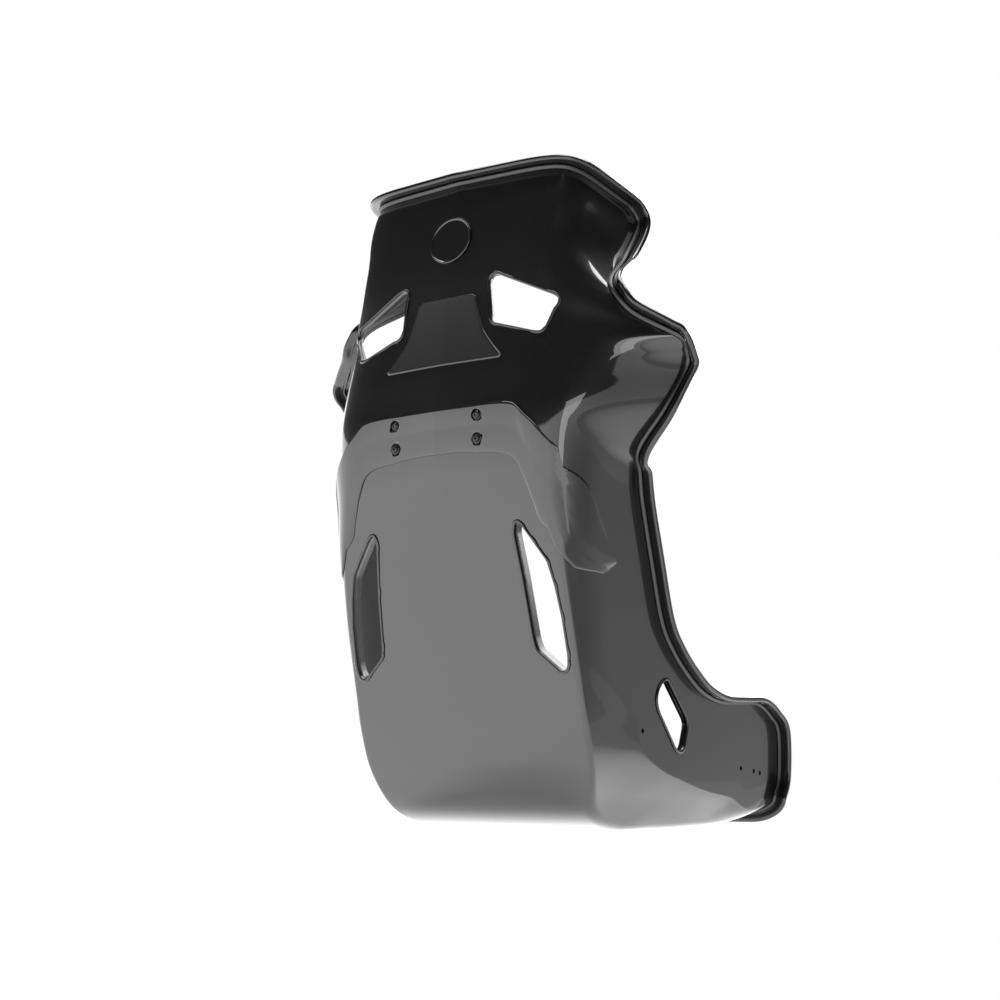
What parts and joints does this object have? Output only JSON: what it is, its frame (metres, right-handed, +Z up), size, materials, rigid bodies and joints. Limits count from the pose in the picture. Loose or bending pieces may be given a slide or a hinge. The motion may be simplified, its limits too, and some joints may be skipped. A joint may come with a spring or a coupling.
{
  "type": "fixed-back racing seat",
  "caption": "Fixed-back bucket seat with head restraint, shoulder and thigh wings, harness slots, rear brace panel, side-mount inserts and removable cushions.",
  "frame": {"origin": "centre of the bounding box at its lowest level, on the underside of the seat base", "axes": "+Z up, the seat faces -Y, +X is the occupant's left"},
  "size_m": [0.6506, 0.6472, 0.9475],
  "materials": {
    "shell_composite": "gloss black clear-coated composite",
    "rim_composite": "satin-gloss black moulding",
    "panel_composite": "gloss black panel",
    "bead_rubber": "black sealing bead",
    "slot_liner": "black moulded liner",
    "blacked_steel": "black oxide",
    "insert_aluminium": "dark anodised threaded insert",
    "plate_aluminium": "mill finish",
    "cushion_fabric": "black woven racing fabric"
  },
  "bodies": {
    "root": {"seat_shell": "shell_composite", "rim_flange": "rim_composite", "rim_bead": "bead_rubber", "rear_brace": "panel_composite", "brace_screws": "blacked_steel", "brace_washers": "blacked_steel", "brace_inserts": "insert_aluminium", "centre_panel": "panel_composite", "blank_badge": "panel_composite", "shoulder_slot_liner_right": "slot_liner", "shoulder_slot_liner_left": "slot_liner", "long_slot_liner_right": "slot_liner", "long_slot_liner_left": "slot_liner", "lap_slot_liner_right": "slot_liner", "lap_slot_liner_left": "slot_liner", "crotch_slot_liner": "slot_liner", "side_inserts_right": "insert_aluminium", "side_inserts_left": "insert_aluminium", "mount_plate_right": "plate_aluminium", "mount_plate_left": "plate_aluminium", "head_cushion": "cushion_fabric", "head_bolster_right": "cushion_fabric", "head_bolster_left": "cushion_fabric", "shoulder_cushion_right": "cushion_fabric", "shoulder_cushion_left": "cushion_fabric", "back_cushion": "cushion_fabric", "lumbar_cushion": "cushion_fabric", "seat_cushion": "cushion_fabric", "thigh_cushion_right": "cushion_fabric", "thigh_cushion_left": "cushion_fabric"}
  },
  "joints": []
}
